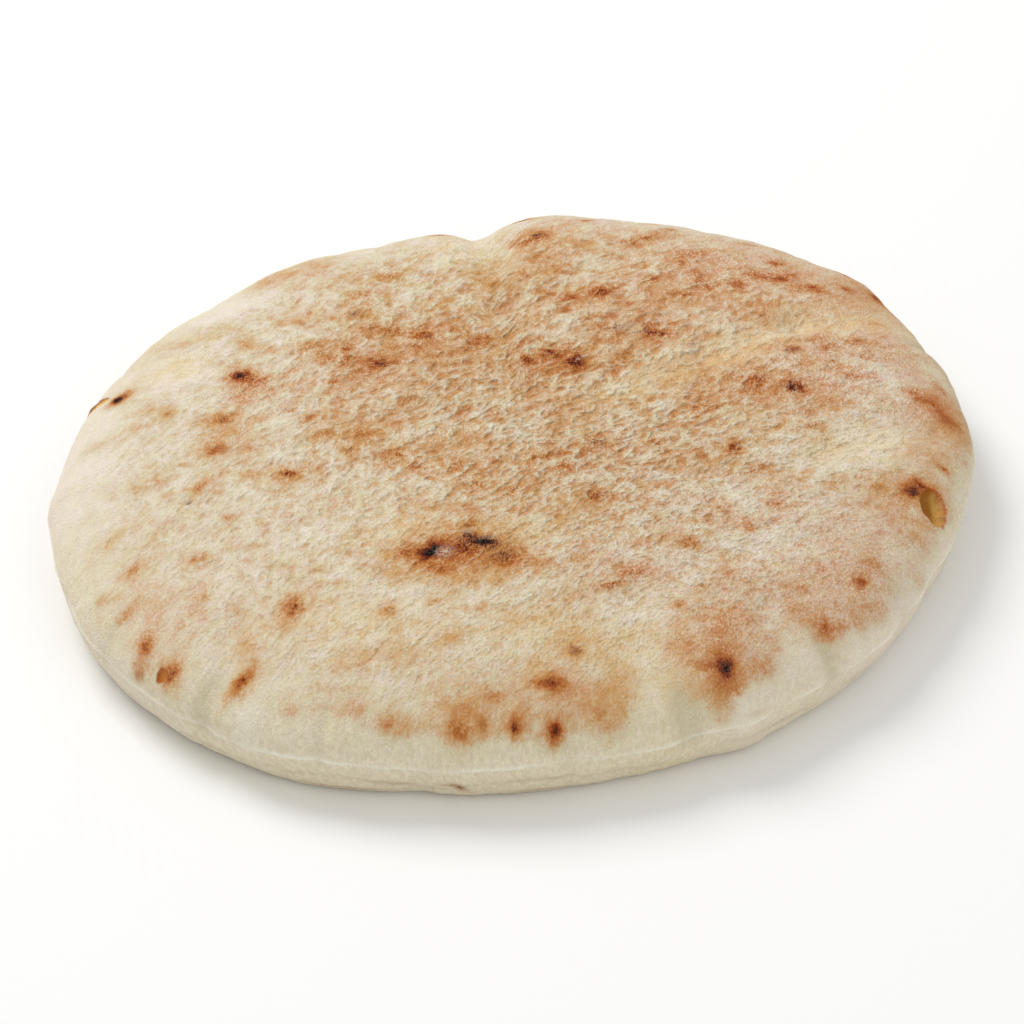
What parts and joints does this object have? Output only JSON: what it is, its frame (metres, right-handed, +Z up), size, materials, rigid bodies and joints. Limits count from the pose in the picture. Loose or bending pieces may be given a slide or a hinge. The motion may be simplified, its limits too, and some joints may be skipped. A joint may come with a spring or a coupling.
{
  "type": "pita bread",
  "caption": "Round puffed pita bread, a flat cushion of baked dough with a wrinkled, spotted top crust, a soft rounded rim and a flat base.",
  "frame": {"origin": "middle of the bread's box, on the surface it lies on", "axes": "+X along the longer side of the outline's box, +Z up through the crown, -Y towards the front rim"},
  "size_m": [0.1943, 0.1902, 0.0257],
  "materials": {
    "crust": "matt baked crust, cream with toasted brown and charred spots"
  },
  "bodies": {
    "root": {"bread": "crust"}
  },
  "joints": []
}
